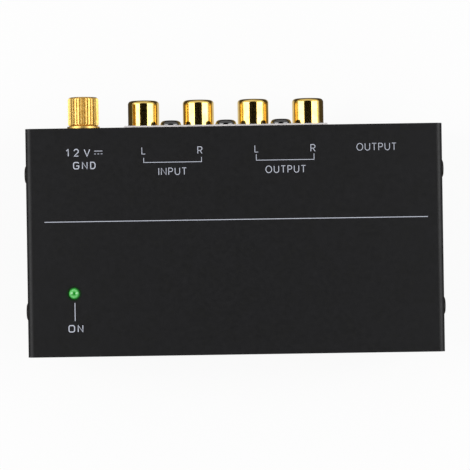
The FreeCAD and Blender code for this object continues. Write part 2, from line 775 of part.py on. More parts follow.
def make_rca_sockets():
    make_rca_housing()
    make_rca_plates()
    for index, name in enumerate(RCA_NAMES):
        keep(rca_shell(f"rca_shell_{name}"), f"rca_shell_{name}", rca_x(index), RCA_BACK, RCA_AXIS, FACE_REAR)
    insert = rca_insert("rca_insert")
    for colour, indices in (("left", (0, 2)), ("right", (1, 3))):
        places = [(rca_x(index), RCA_BACK, RCA_AXIS, FACE_REAR) for index in indices]
        keep(copies(f"rca_inserts_{colour}", insert, places), f"rca_inserts_{colour}")
    contact = rca_contact("rca_contact")
    places = [(rca_x(index), RCA_BACK, RCA_AXIS, FACE_REAR) for index in range(RCA_COUNT)]
    keep(copies("rca_centre_contacts", contact, places), "rca_centre_contacts")


def leaf(label, x, axis, side, root, nose, arm_sign, sizes):
    """Bent spring strip beside a bore, on the +x side, or turned over to the -x side.

    root and nose are depths behind the rear face, and arm_sign is 1 where the strip runs deeper
    from its root to its nose.
    """
    offset_root, offset_nose, offset_end, tail, width = sizes
    body = doc.addObject("PartDesign::Body", label)
    sketch = sketch_on(body, "XY_Plane")
    ahead = "-" if arm_sign > 0 else "+"
    knee = f"-{root} {ahead} 4 * leaf_gauge"
    end = f"-{nose} {ahead} {tail}"
    centre = [(offset_root, f"-{root}"), (offset_root, knee), (offset_nose, f"-{nose}"), (offset_end, end)]
    far = [(f"{v} + leaf_gauge", y) for v, y in reversed(centre)]
    outline(sketch, centre + far)
    pad(body, sketch, width, symmetric=True)
    turn = UPRIGHT if side > 0 else SIDE_SWAP
    keep(body, label, x, REAR, axis, turn)


def socket_block(name, x, axis, width, height, length, nose_radius):
    """Moulded socket body on the board, with a round nose that fills its hole in the panel."""
    block = box(f"{name}_block", (f"{x} - {width} / 2", f"{x} + {width} / 2"),
                (f"{PANEL_INNER} - {length}", PANEL_INNER), (BOARD_TOP, f"{BOARD_TOP} + {height}"))
    nose = rod(f"{name}_nose", nose_radius, "2 * chassis_gauge", x, f"{PANEL_INNER} - chassis_gauge", axis,
               FACE_REAR)
    return joined(f"{name}_body", [block, nose])


def bore(name, radius, depth, x, axis):
    """Round tool that cuts in from the rear face."""
    return rod(name, radius, depth, x, f"{REAR} - {depth}", axis, FACE_REAR)


def make_trs_socket():
    solid = socket_block("trs", TRS_X, TRS_AXIS, "trs_width", "trs_height", "trs_length", "trs_nose_radius")
    slot = (f"{TRS_AXIS} - trs_slot_height / 2", f"{TRS_AXIS} + trs_slot_height / 2")
    tip_slot = box("trs_tip_slot", (TRS_X, f"{TRS_X} + trs_slot_reach"),
                   (f"{REAR} - trs_tip_depth - trs_leaf_tail - 2 * strip_gauge", TIP_STRIP[3]), slot)
    ring_slot = box("trs_ring_slot", (f"{TRS_X} - trs_slot_reach", TRS_X),
                    (RING_STRIP[2], f"{REAR} - trs_ring_depth + trs_leaf_tail + 2 * strip_gauge"), slot)
    tools = [
        bore("trs_bore", "trs_bore_radius", "trs_bore_depth", TRS_X, TRS_AXIS),
        bore("trs_bush_seat", f"{BUSH_RADIUS} + nest_gap", "trs_bush_length", TRS_X, TRS_AXIS),
        tip_slot,
        ring_slot,
        strip("trs_tip_way", TIP_STRIP, BOARD_TOP, TRS_AXIS, "nest_gap"),
        strip("trs_ring_way", RING_STRIP, BOARD_TOP, TRS_AXIS, "nest_gap"),
        strip("trs_bush_way", BUSH_STRIP, BOARD_TOP, TRS_AXIS, "nest_gap"),
    ]
    keep(less("trs_housing", solid, tools), "trs_housing")

    bush = turned("trs_sleeve_contact", [
        ("trs_socket_radius", "-trs_bush_length"), (BUSH_RADIUS, "-trs_bush_length"), (BUSH_RADIUS, 0),
        ("trs_lead_in_radius", 0), ("trs_socket_radius", "-trs_lead_in"),
    ])
    keep(bush, "trs_sleeve_contact", TRS_X, REAR, TRS_AXIS, FACE_REAR)

    strips = [
        strip("trs_tip_strip", TIP_STRIP, PIN_END, f"{TRS_AXIS} + trs_leaf_width / 2"),
        strip("trs_ring_strip", RING_STRIP, PIN_END, f"{TRS_AXIS} + trs_leaf_width / 2"),
        strip("trs_bush_strip", BUSH_STRIP, PIN_END, f"{TRS_AXIS} - {BUSH_RADIUS} - nest_gap"),
    ]
    keep(group("trs_terminals", strips), "trs_terminals")

    leaf_sizes = ("trs_leaf_root", "trs_leaf_nose", "trs_leaf_end", "trs_leaf_tail", "trs_leaf_width")
    leaf("trs_tip_spring", TRS_X, TRS_AXIS, 1, TRS_TIP_ROOT, "trs_tip_depth", 1, leaf_sizes)
    leaf("trs_ring_spring", TRS_X, TRS_AXIS, -1, TRS_RING_ROOT, "trs_ring_depth", -1, leaf_sizes)


def make_dc_inlet():
    solid = socket_block("dc", SUPPLY_X, DC_AXIS, "dc_width", "dc_height", "dc_length", "dc_nose_radius")
    slot = box("dc_slot", (SUPPLY_X, f"{SUPPLY_X} + dc_width"),
               (DC_STRIP[2], f"{REAR} - dc_contact_depth + dc_leaf_tail + strip_gauge"),
               (f"{DC_AXIS} - dc_slot_height / 2", f"{DC_AXIS} + dc_slot_height / 2"))
    tools = [
        bore("dc_cavity", "dc_cavity_radius", "dc_cavity_depth", SUPPLY_X, DC_AXIS),
        rod("dc_pin_hole", "dc_pin_root_radius + nest_gap", "dc_length / 2", SUPPLY_X,
            f"{PANEL_INNER} - dc_length", DC_AXIS, FACE_REAR),
        slot,
        strip("dc_way", DC_STRIP, BOARD_TOP, DC_AXIS, "nest_gap"),
    ]
    keep(less("dc_housing", solid, tools), "dc_housing")

    pin_length = "(dc_length + chassis_gauge - dc_pin_recess)"
    pin = rod("dc_pin_rod", "dc_pin_radius", f"{pin_length} - dc_pin_radius", SUPPLY_X,
              f"{PANEL_INNER} - dc_length", DC_AXIS, FACE_REAR)
    root = rod("dc_pin_root", "dc_pin_root_radius", "dc_length + chassis_gauge - dc_cavity_depth", SUPPLY_X,
               f"{PANEL_INNER} - dc_length", DC_AXIS, FACE_REAR)
    tip = doc.addObject("Part::Sphere", "dc_pin_tip")
    bind(tip, "Radius", "dc_pin_radius")
    seat(tip, SUPPLY_X, f"{PANEL_INNER} - dc_length + {pin_length} - dc_pin_radius", DC_AXIS)
    tail = strip("dc_pin_tail", DC_PIN_STRIP, PIN_END, f"{DC_AXIS} + dc_pin_root_radius")
    keep(joined("dc_centre_pin", [pin, root, tip, tail]), "dc_centre_pin")

    terminal = strip("dc_strip", DC_STRIP, PIN_END, f"{DC_AXIS} + dc_leaf_width / 2")
    keep(group("dc_terminal", [terminal]), "dc_terminal")
    leaf_sizes = ("dc_leaf_root", "dc_leaf_nose", "dc_leaf_end", "dc_leaf_tail", "dc_leaf_width")
    leaf("dc_spring", SUPPLY_X, DC_AXIS, 1, DC_ROOT, "dc_contact_depth", -1, leaf_sizes)


def make_thumb_screw():
    """Knurled thumb screw of the ground terminal: head outside, stud through the bush."""
    head_start = "(washer_gauge + 2 * seat_gap)"
    body = turned("ground_thumb_screw", [
        (0, f"{head_start} - stud_length"), ("stud_radius - stud_chamfer", f"{head_start} - stud_length"),
        ("stud_radius", f"{head_start} - stud_length + stud_chamfer"), ("stud_radius", head_start),
        ("knob_radius - knob_chamfer", head_start), ("knob_radius", f"{head_start} + knob_chamfer"),
        ("knob_radius", "knob_reach - knob_chamfer"), ("knob_radius - knob_chamfer", "knob_reach"),
        (0, "knob_reach"),
    ])
    groove = sketch_on(body, "XY_Plane", head_start)
    reach = "(knob_radius - knurl_depth)"
    outline(groove, [
        (reach, 0), ("knob_radius + knurl_depth", "-2 * knurl_depth"),
        ("knob_radius + knurl_depth", "2 * knurl_depth"),
    ])
    first = pocket(body, groove, reverse=True)
    pattern = body.newObject("PartDesign::PolarPattern", "knurls")
    pattern.Originals = [first]
    pattern.Axis = (groove, ["N_Axis"])
    pattern.Angle = 360
    pattern.Occurrences = KNURL_COUNT
    body.Tip = pattern
    keep(body, "ground_thumb_screw", SUPPLY_X, REAR, GROUND_AXIS, FACE_REAR)


def make_ground_terminal():
    make_thumb_screw()
    washer = turned("ground_washer", [
        ("stud_radius + washer_gap", "seat_gap"), ("washer_radius", "seat_gap"),
        ("washer_radius", "seat_gap + washer_gauge"), ("stud_radius + washer_gap", "seat_gap + washer_gauge"),
    ])
    keep(washer, "ground_washer", SUPPLY_X, REAR, GROUND_AXIS, FACE_REAR)

    neck = "(-chassis_gauge - strip_gauge)"
    bush = turned("ground_bush", [
        ("stud_radius + stud_gap", f"{neck} - bush_length"), ("bush_radius", f"{neck} - bush_length"),
        ("bush_radius", neck), ("bush_neck_radius", neck), ("bush_neck_radius", 0),
        ("stud_radius + stud_gap", 0),
    ])
    keep(bush, "ground_bush", SUPPLY_X, REAR, GROUND_AXIS, FACE_REAR)

    leg = strip("ground_leg", LUG_LEG, f"{BOARD_TOP}", f"{GROUND_AXIS} + lug_leg_width / 2")
    arm = box("ground_arm", (LUG_LEG[0], SUPPLY_X), (LUG_LEG[2], LUG_LEG[3]),
              (f"{GROUND_AXIS} - lug_leg_width / 2", f"{GROUND_AXIS} + lug_leg_width / 2"))
    ring = rod("ground_ring", "lug_ring_radius", "strip_gauge", SUPPLY_X, LUG_LEG[2], GROUND_AXIS,
               FACE_REAR)
    hole = rod("ground_ring_hole", "bush_neck_radius + bush_neck_gap", "3 * strip_gauge", SUPPLY_X,
               f"{LUG_LEG[2]} - strip_gauge", GROUND_AXIS, FACE_REAR)
    keep(less("ground_lug", joined("ground_lug_blank", [leg, arm, ring]), [hole]), "ground_lug")


def make_power_light():
    """Light-emitting diode under the cover, on a spacer and two leads."""
    flange_z = "(body_height + led_proud - led_length)"
    dome_z = "(body_height + led_proud - led_radius)"
    flange = rod("led_flange", "led_flange_radius", "led_flange_height", "led_x", "led_y", flange_z)
    barrel = rod("led_barrel", "led_radius", f"{dome_z} - {flange_z}", "led_x", "led_y", flange_z)
    dome = doc.addObject("Part::Sphere", "led_dome")
    bind(dome, "Radius", "led_radius")
    seat(dome, "led_x", "led_y", dome_z)
    keep(joined("led_lens", [flange, barrel, dome]), "led_lens")

    spacer = turned("led_spacer", [
        ("led_spacer_bore", 0), ("led_spacer_radius", 0), ("led_spacer_radius", f"{flange_z} - {BOARD_TOP}"),
        ("led_spacer_bore", f"{flange_z} - {BOARD_TOP}"),
    ])
    keep(spacer, "led_spacer", "led_x", "led_y", BOARD_TOP)

    leads = []
    for side in ("-", "+"):
        x = f"led_x {side} led_lead_pitch / 2"
        leads.append(box("led_lead", (f"{x} - led_lead_width / 2", f"{x} + led_lead_width / 2"),
                         ("led_y - led_lead_width / 2", "led_y + led_lead_width / 2"), (PIN_END, flange_z)))
    keep(group("led_leads", leads), "led_leads")


def can(name, radius, height):
    """Electrolytic capacitor can with a rounded top and a crimp near its foot."""
    crimp = "can_rounding"
    body = turned(name, [
        (0, 0), (radius, 0), (radius, f"2 * {crimp}"), (f"{radius} - {crimp} / 2", f"3 * {crimp}"),
        (radius, f"4 * {crimp}"), (radius, height), (0, height),
    ])
    top = body.Shape.BoundBox.ZMax
    soften(body, "Fillet", "can_rounding", lambda edge: edge.BoundBox.ZMin > top - 1e-6)
    return body


def make_capacitors():
    small = can("small_can", "can_radius", "can_height")
    places = [(f"can_first_x + {index} * can_pitch", "can_row_y", BOARD_TOP, UPRIGHT)
              for index in range(CAN_COUNT)]
    keep(copies("coupling_capacitors", small, places), "coupling_capacitors")
    places = [(f"output_can_first_x + {index} * output_can_pitch", "output_can_y", BOARD_TOP, UPRIGHT)
              for index in range(CHIP_COUNT)]
    keep(copies("output_capacitors", small, places), "output_capacitors")
    large = can("large_can", "supply_can_radius", "supply_can_height")
    places = [("supply_can_x", f"supply_can_first_y - {index} * supply_can_pitch", BOARD_TOP, UPRIGHT)
              for index in range(CHIP_COUNT)]
    keep(copies("supply_capacitors", large, places), "supply_capacitors")

    films = []
    for index in range(FILM_COUNT):
        x = f"(film_first_x + {index} * film_pitch)"
        films.append(box("film", (f"{x} - film_length / 2", f"{x} + film_length / 2"),
                         ("film_row_y - film_thickness / 2", "film_row_y + film_thickness / 2"),
                         (BOARD_TOP, f"{BOARD_TOP} + film_height")))
    keep(group("film_capacitors", films), "film_capacitors")

    discs = []
    for index in range(CHIP_COUNT):
        x = f"(disc_first_x + {index} * disc_pitch)"
        y = "chip_row_y"
        disc = rod("disc", "disc_radius", "disc_thickness", x, f"{y} - disc_thickness / 2",
                   f"{BOARD_TOP} + disc_lift + disc_radius", FACE_REAR)
        legs = [rod("disc_leg", "lead_radius", "disc_lift + disc_radius / 2",
                    f"{x} {side} disc_radius / 2", y, BOARD_TOP) for side in ("-", "+")]
        discs.append(joined("disc_capacitor", [disc] + legs))
    keep(group("bypass_capacitors", discs), "bypass_capacitors")


def make_chips():
    """Two amplifier chips with four bent legs on each side."""
    chips = []
    legs = []
    for index in range(CHIP_COUNT):
        x = f"(chip_first_x + {index} * chip_pitch)"
        low = f"({BOARD_TOP} + chip_lift)"
        blank = box("chip_block", (f"{x} - chip_length / 2", f"{x} + chip_length / 2"),
                    ("chip_row_y - chip_width / 2", "chip_row_y + chip_width / 2"),
                    (low, f"{low} + chip_height"))
        notch = rod("chip_notch", "chip_notch_radius", "2 * chip_notch_depth", f"{x} - chip_length / 2",
                    "chip_row_y", f"{low} + chip_height - chip_notch_depth")
        chips.append(less("chip", blank, [notch]))
        for number in range(CHIP_SIDE_LEGS):
            leg_x = f"({x} + {number - (CHIP_SIDE_LEGS - 1) / 2} * leg_pitch)"
            for side in ("-", "+"):
                face = f"(chip_row_y {side} chip_width / 2)"
                outer = f"({face} {side} 2 * leg_gauge)"
                inner = f"({face} {side} leg_gauge)"
                low_y, high_y = (outer, face) if side == "-" else (face, outer)
                drop_low, drop_high = (outer, inner) if side == "-" else (inner, outer)
                span = (f"{leg_x} - leg_width / 2", f"{leg_x} + leg_width / 2")
                shoulder = f"{BOARD_TOP} + leg_height"
                shelf = box("leg_shelf", span, (low_y, high_y), (shoulder, f"{shoulder} + leg_gauge"))
                drop = box("leg_drop", span, (drop_low, drop_high), (BOARD_TOP, f"{shoulder} + leg_gauge"))
                legs.append(joined("chip_leg", [shelf, drop]))
    keep(group("amplifier_chips", chips), "amplifier_chips")
    keep(group("chip_legs", legs), "chip_legs")


def bent_lead(name, body_length, axis_height):
    """Wire from the end of an axial part out to its bend and down to the board."""
    reach = f"(lead_span / 2 - ({body_length}) / 2)"
    out = rod(f"{name}_out", "lead_radius", reach, f"({body_length}) / 2", 0, 0, FACE_RIGHT)
    elbow = doc.addObject("Part::Sphere", f"{name}_elbow")
    bind(elbow, "Radius", "lead_radius")
    seat(elbow, "lead_span / 2")
    drop = rod(f"{name}_drop", "lead_radius", axis_height, "lead_span / 2", 0, f"-({axis_height})")
    return joined(name, [out, elbow, drop])


def make_resistors():
    """Axial resistors in two rows, and the diode of the supply, with their bent leads."""
    lift = "(resistor_radius + resistor_lift)"
    end = "resistor_length / 2"
    master = turned("resistor", [
        (0, f"-{end}"), ("resistor_radius", f"-{end}"), ("resistor_radius", f"resistor_cap - {end}"),
        ("resistor_waist", f"resistor_cap - {end} + lead_radius"),
        ("resistor_waist", f"{end} - resistor_cap - lead_radius"),
        ("resistor_radius", f"{end} - resistor_cap"), ("resistor_radius", end), (0, end),
    ])
    spots = [(f"resistor_first_x + {column} * resistor_pitch", f"resistor_row_y - {row} * resistor_row_pitch")
             for row in range(RESISTOR_ROWS) for column in range(RESISTOR_COLUMNS)]
    level = f"{BOARD_TOP} + {lift}"
    keep(copies("resistors", master, [(x, y, level, FACE_RIGHT) for x, y in spots]), "resistors")
    lead = bent_lead("resistor_lead", "resistor_length", lift)
    places = [(x, y, level, turn) for x, y in spots for turn in (UPRIGHT, HALF_TURN)]
    keep(copies("resistor_leads", lead, places), "resistor_leads")

    drop = "(diode_radius + resistor_lift)"
    level = f"{BOARD_TOP} + {drop}"
    body = rod("diode_body", "diode_radius", "diode_length", "diode_x", "diode_y - diode_length / 2", level,
               FACE_REAR)
    keep(group("supply_diode", [body]), "supply_diode")
    lead = bent_lead("diode_lead", "diode_length", drop)
    places = [("diode_x", "diode_y", level, QUARTER_TURN),
              ("diode_x", "diode_y", level, QUARTER_TURN.multiply(HALF_TURN))]
    keep(copies("diode_leads", lead, places), "diode_leads")


def make_regulator():
    """Small regulator: a round body with one flat side, on three legs."""
    low = f"({BOARD_TOP} + regulator_lift)"
    round_body = rod("regulator_round", "regulator_radius", "regulator_height",
                     "regulator_x", "regulator_y", low)
    flat = box("regulator_flat_side", ("regulator_x - regulator_radius", "regulator_x + regulator_radius"),
               ("regulator_y - 2 * regulator_radius", "regulator_y - regulator_flat"),
               (low, f"{low} + regulator_height"))
    keep(less("voltage_regulator", round_body, [flat]), "voltage_regulator")
    legs = [box("regulator_leg",
                (f"regulator_x + {number} * regulator_leg_pitch - led_lead_width / 2",
                 f"regulator_x + {number} * regulator_leg_pitch + led_lead_width / 2"),
                ("regulator_y - led_lead_width / 2", "regulator_y + led_lead_width / 2"), (BOARD_TOP, low))
            for number in (-1, 0, 1)]
    keep(group("regulator_legs", legs), "regulator_legs")


def find_faults():
    """Objects that failed to build, and sub-parts without a sound solid."""
    faults = [f"{item.Name}: {', '.join(item.State)}" for item in doc.Objects
              if "Invalid" in item.State or "Error" in item.State]
    for node in nodes:
        shape = node.Shape
        if shape.isNull() or not shape.isValid() or not shape.Solids:
            faults.append(f"{node.Label}: no sound solid")
    return faults


write_sheet()
make_top_cover()
make_chassis()
make_screws()
make_feet()
make_board()
make_rca_sockets()
make_trs_socket()
make_dc_inlet()
make_ground_terminal()
make_power_light()
make_capacitors()
make_chips()
make_resistors()
make_regulator()
doc.recompute()

problems = find_faults()
if problems:
    raise RuntimeError("; ".join(problems))

os.makedirs("parts", exist_ok=True)
for node in nodes:
    node.Shape.exportStep(f"parts/{node.Label}.step")
    print(f"{node.Label}: {len(node.Shape.Solids)} solids, {node.Shape.Volume:.1f} mm3")
print(f"{len(nodes)} nodes")
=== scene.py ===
import json
import math

import bmesh
import bpy
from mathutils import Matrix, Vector


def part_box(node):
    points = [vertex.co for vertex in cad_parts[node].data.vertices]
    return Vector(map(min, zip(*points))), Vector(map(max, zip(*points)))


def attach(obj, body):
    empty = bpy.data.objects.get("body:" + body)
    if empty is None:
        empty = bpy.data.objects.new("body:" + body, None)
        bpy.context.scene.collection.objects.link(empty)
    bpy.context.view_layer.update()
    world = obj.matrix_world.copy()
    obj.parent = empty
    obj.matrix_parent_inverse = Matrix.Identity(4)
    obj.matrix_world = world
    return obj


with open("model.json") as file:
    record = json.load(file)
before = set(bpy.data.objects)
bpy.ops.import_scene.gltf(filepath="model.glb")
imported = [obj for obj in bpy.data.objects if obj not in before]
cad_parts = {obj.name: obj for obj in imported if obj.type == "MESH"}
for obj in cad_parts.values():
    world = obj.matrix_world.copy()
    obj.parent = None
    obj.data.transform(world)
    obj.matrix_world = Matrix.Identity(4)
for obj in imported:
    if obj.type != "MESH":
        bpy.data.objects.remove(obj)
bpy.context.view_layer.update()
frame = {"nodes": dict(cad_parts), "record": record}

MM = 0.001
COVER_LOW, COVER_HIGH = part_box("top_cover")
COVER_TOP = COVER_HIGH[2]
COVER_MIDDLE = ((COVER_LOW[0] + COVER_HIGH[0]) / 2, (COVER_LOW[1] + COVER_HIGH[1]) / 2)
LED_LOW, LED_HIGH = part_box("led_lens")
LED_MIDDLE = ((LED_LOW[0] + LED_HIGH[0]) / 2, (LED_LOW[1] + LED_HIGH[1]) / 2)
KNOB_LOW, KNOB_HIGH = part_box("ground_thumb_screw")
PLATE_LOW, PLATE_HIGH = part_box("rca_face_plate")
SOCKET_MIDDLE = (PLATE_LOW[0] + PLATE_HIGH[0]) / 2

# Softened edges of the folded sheets: only corners sharper than the angle
EDGE_WIDTH = 0.12 * MM
EDGE_SEGMENTS = 2
EDGE_ANGLE = math.radians(50)

# Ridge on the ground screw's stud; it ends under the head, a gap past the cover's rear edge
THREAD_PITCH = 0.7 * MM
THREAD_ROOT = 1.93 * MM
THREAD_TIP = 2.08 * MM
THREAD_HALF_WIDTH = THREAD_PITCH * 0.45
THREAD_STEPS = 24
HEAD_GAP = 0.6 * MM

# Ring of painted shade on the cover round the light, where the hole's edge lies in shade
SHADE_RING_INNER = 1.52 * MM
SHADE_RING_OUTER = 1.86 * MM
SHADE_RING_HEIGHT = 0.03 * MM
SHADE_RING_STEPS = 48

# The light itself: how far its glow's ramp reaches, and how uneven the glow is
GLOW_REACH = 1.65 * MM
GLOW_WANDER = 0.3 * MM
GLOW_STRENGTH = 0.25

# Camera: straight above the cover, rolled a little, as in the photograph
PHOTO_WIDTH = 117.06 * MM
CAMERA_RISE = 500 * MM
CAMERA_SENSOR = 36.0
CAMERA_ROLL = math.radians(-0.88)
CAMERA_AHEAD = 1.3 * MM
CAMERA_NEAR = 10 * MM

# Floor: how white the eye sees it, how it returns light, and what polished metal mirrors of
# it far off. That dark sets in between two distances, sideways from the sockets or rearward.
FLOOR_HALF_WIDTH = 3
FLOOR_DROP = 0.05 * MM
FLOOR_WHITE = 0.92
FLOOR_GREY = (0.9, 0.9, 0.9, 1)
FLOOR_DARK = (0.09, 0.08, 0.07, 1)
DARK_SIDEWAYS = (22 * MM, 26 * MM)
DARK_REARWARD = (34 * MM, 44 * MM)

# Dark card overhead
CARD_RADIUS = 0.33
CARD_HEIGHT = 0.62
CARD_SEGMENTS = 64
CARD_DARK = (0.010, 0.009, 0.008, 1)
CARD_LIGHT = (0.014, 0.013, 0.012, 1)

# Surround, as light and as it looks, and the soft boxes, mirrored about x = 0
WHITE = (1, 1, 1, 1)
SURROUND_LIGHT = 0.5
SURROUND_LOOK = 1.0
LAMP_LENGTH = 0.66
LAMP_WIDTH = 0.34
LAMP_ENERGY = 3.2
LAMP_PLACE = (0.63, 0.08, 0.53)
LAMP_TILT = math.radians(50)

# Kinds of ray that carry what the eye sees, straight or by way of metal and glass
ALL_SEEN = ("Is Camera Ray", "Is Glossy Ray", "Is Transmission Ray")

# Values that nearly all of a noise lies between
NOISE_LOW = 0.3
NOISE_HIGH = 0.7

# Print on the cover: the ink in metres, strokes and points in millimetres, bends in degrees
PRINT_LIFT = 0.004 * MM
PRINT_DEPTH = 0.02 * MM
FINE_STROKE = 0.15
THIN_STROKE = 0.175
MARK_STROKE = 0.19
BOLD_STROKE = 0.25
SHARPEST_MITRE = 0.72
SAME_POINT = 1e-6
BEND_STEP = 12

# Widths of the capitals' centre lines, and places within them, as shares of their height
LETTER_WIDTHS = {
    "O": 0.87, "U": 0.68, "T": 0.62, "P": 0.58, "I": 0.0, "N": 0.72, "L": 0.5, "R": 0.62,
    "V": 0.8, "G": 0.82, "D": 0.68, "1": 0.26, "2": 0.62,
}
ROUND_CORNER = 0.5
SQUARE_CORNER = 0.3
BOWL = 0.27
SHOULDER = 0.36
BAR_HEIGHT = 0.46
BAR_START = 0.52  # of the letter's own width
FLAG_HEIGHT = 0.76
HOOK = 0.3


def linear(red, green, blue):
    """Linear colour from an 8-bit display colour."""
    def channel(value):
        share = value / 255
        return share / 12.92 if share <= 0.04045 else ((share + 0.055) / 1.055) ** 2.4
    return channel(red), channel(green), channel(blue), 1.0


class Graph:
    """Shader nodes of a material or of the world, and the sums made with them."""

    def __init__(self, owner):
        owner.use_nodes = True
        self.nodes = owner.node_tree.nodes
        self.links = owner.node_tree.links

    def feed(self, socket, value):
        """Give an input a number, or the output of another node."""
        if isinstance(value, (int, float)):
            socket.default_value = value
        else:
            self.links.new(value, socket)

    def math(self, operation, first, second=0.0):
        node = self.nodes.new("ShaderNodeMath")
        node.operation = operation
        self.feed(node.inputs[0], first)
        self.feed(node.inputs[1], second)
        return node.outputs["Value"]

    def spread(self, value, low, high, to_low=0.0, to_high=1.0):
        """The value, moved from one range to another and kept within it."""
        node = self.nodes.new("ShaderNodeMapRange")
        names = ("Value", "From Min", "From Max", "To Min", "To Max")
        for name, given in zip(names, (value, low, high, to_low, to_high)):
            self.feed(node.inputs[name], given)
        return node.outputs["Result"]

    def mix(self, share, first, second):
        """The first shader where the share is 0, and the second where it is 1."""
        node = self.nodes.new("ShaderNodeMixShader")
        for socket, given in zip(node.inputs, (share, first, second)):
            self.feed(socket, given)
        return node.outputs["Shader"]

    def ray_share(self, names):
        """1 for rays of the named kinds, and 0 for all other rays."""
        path = self.nodes.new("ShaderNodeLightPath")
        share = path.outputs[names[0]]
        for name in names[1:]:
            share = self.math("MAXIMUM", share, path.outputs[name])
        return share


class Finish(Graph):
    """A Principled material whose colour, roughness and relief come from procedural textures."""

    def __init__(self, name, roughness, metallic=0.0, specular=0.5):
        self.material = bpy.data.materials.new(name)
        super().__init__(self.material)
        self.shader = self.nodes["Principled BSDF"]
        self.feed(self.shader.inputs["Roughness"], roughness)
        self.feed(self.shader.inputs["Metallic"], metallic)
        self.feed(self.shader.inputs["Specular IOR Level"], specular)
        self.place = self.nodes.new("ShaderNodeTexCoord").outputs["Object"]
        self.normal = None

    def stretched(self, scale):
        mapping = self.nodes.new("ShaderNodeMapping")
        mapping.inputs["Scale"].default_value = scale
        self.links.new(self.place, mapping.inputs["Vector"])
        return mapping.outputs["Vector"]

    def noise(self, grain_mm, detail, stretch=None):
        texture = self.nodes.new("ShaderNodeTexNoise")
        texture.inputs["Scale"].default_value = 1 / (grain_mm * MM)
        texture.inputs["Detail"].default_value = detail
        place = self.stretched(stretch) if stretch else self.place
        self.links.new(place, texture.inputs["Vector"])
        return texture.outputs["Fac"]

    def ramp(self, value, stops):
        ramp = self.nodes.new("ShaderNodeValToRGB")
        elements = ramp.color_ramp.elements
        while len(elements) < len(stops):
            elements.new(0.5)
        for element, (position, colour) in zip(elements, stops):
            element.position = position
            element.color = colour
        self.links.new(value, ramp.inputs["Fac"])
        return ramp.outputs["Color"]

    def distance(self, centre, scale):
        """Distance from a point, measured along the axes that the scale leaves."""
        away = self.nodes.new("ShaderNodeVectorMath")
        away.operation = "DISTANCE"
        away.inputs[1].default_value = [a * b for a, b in zip(centre, scale)]
        self.links.new(self.stretched(scale), away.inputs[0])
        return away.outputs["Value"]

    def colour(self, dark, light, grain_mm, detail=3.0, low=0.35, high=0.65):
        """Colour that wanders between two, set by a noise between low and high."""
        shade = self.ramp(self.noise(grain_mm, detail), [(low, dark), (high, light)])
        self.links.new(shade, self.shader.inputs["Base Color"])
        return self

    def polish(self, low, high, grain_mm, detail=4.0):
        """Roughness that wanders between two values."""
        value = self.spread(self.noise(grain_mm, detail), NOISE_LOW, NOISE_HIGH, low, high)
        self.links.new(value, self.shader.inputs["Roughness"])
        return self

    def relief(self, grain_mm, height_mm, strength, detail=2.0, stretch=None):
        """Relief of a noise, on top of any before it."""
        height = self.noise(grain_mm, detail, stretch)
        bump = self.nodes.new("ShaderNodeBump")
        bump.inputs["Distance"].default_value = height_mm * MM
        bump.inputs["Strength"].default_value = strength
        self.links.new(height, bump.inputs["Height"])
        if self.normal:
            self.links.new(self.normal, bump.inputs["Normal"])
        self.normal = bump.outputs["Normal"]
        self.links.new(self.normal, self.shader.inputs["Normal"])
        return self

    def coat(self, weight, roughness):
        """Clear layer over the rest."""
        self.feed(self.shader.inputs["Coat Weight"], weight)
        self.feed(self.shader.inputs["Coat Roughness"], roughness)
        return self


def coated_steel():
    """Black powder coat: an even satin black with a fine orange-peel surface."""
    finish = Finish("black_coat", roughness=0.5, specular=0.26)
    finish.colour(linear(13, 13, 14), linear(16, 16, 18), grain_mm=5.0, detail=5.0)
    finish.polish(0.43, 0.5, grain_mm=1.2)
    finish.relief(grain_mm=0.35, height_mm=0.01, strength=0.4)
    return finish.relief(grain_mm=2.4, height_mm=0.012, strength=0.3).material


def black_screw():
    """Black oxide steel, glossy on its rounded head."""
    finish = Finish("black_screw", roughness=0.12)
    finish.colour(linear(8, 7, 7), linear(20, 18, 18), grain_mm=0.5)
    finish.polish(0.1, 0.16, grain_mm=0.4)
    finish.relief(grain_mm=0.25, height_mm=0.004, strength=0.2)
    return finish.coat(weight=0.8, roughness=0.04).material


def gold_plate():
    """Polished gold plating on the phono sockets, with faint turning marks."""
    finish = Finish("gold_plate", roughness=0.08, metallic=1.0)
    finish.colour(linear(202, 170, 92), linear(216, 186, 110), grain_mm=2.0)
    finish.polish(0.06, 0.13, grain_mm=0.8)
    turned = (0.05, 1.0, 0.05)
    return finish.relief(grain_mm=0.12, height_mm=0.003, strength=0.25, stretch=turned).material


def gold_knurl():
    """Duller gold on the knurled thumb screw and its washer."""
    finish = Finish("gold_knurl", roughness=0.4, metallic=1.0)
    finish.colour(linear(212, 172, 90), linear(230, 196, 118), grain_mm=0.6, detail=4.0)
    finish.polish(0.36, 0.5, grain_mm=0.3)
    return finish.relief(grain_mm=0.18, height_mm=0.02, strength=0.4).material


def plated_steel(name, dark, light, roughness):
    """Grey metal, evenly plated."""
    finish = Finish(name, roughness, metallic=1.0)
    finish.colour(dark, light, grain_mm=6.0)
    finish.polish(roughness * 0.9, roughness * 1.1, grain_mm=1.5)
    return finish.relief(grain_mm=0.3, height_mm=0.002, strength=0.2).material


def moulded(name, dark, light, roughness=0.4):
    """Plastic or lacquer with a fine, uneven skin."""
    finish = Finish(name, roughness)
    finish.colour(dark, light, grain_mm=1.8)
    finish.polish(roughness * 0.8, roughness * 1.25, grain_mm=0.7)
    return finish.relief(grain_mm=0.25, height_mm=0.006, strength=0.4).material


def rubber():
    """Dull black rubber of the feet."""
    finish = Finish("rubber", roughness=0.75, specular=0.25)
    finish.colour(linear(20, 20, 20), linear(34, 34, 33), grain_mm=0.9)
    return finish.relief(grain_mm=0.3, height_mm=0.03, strength=0.6).material


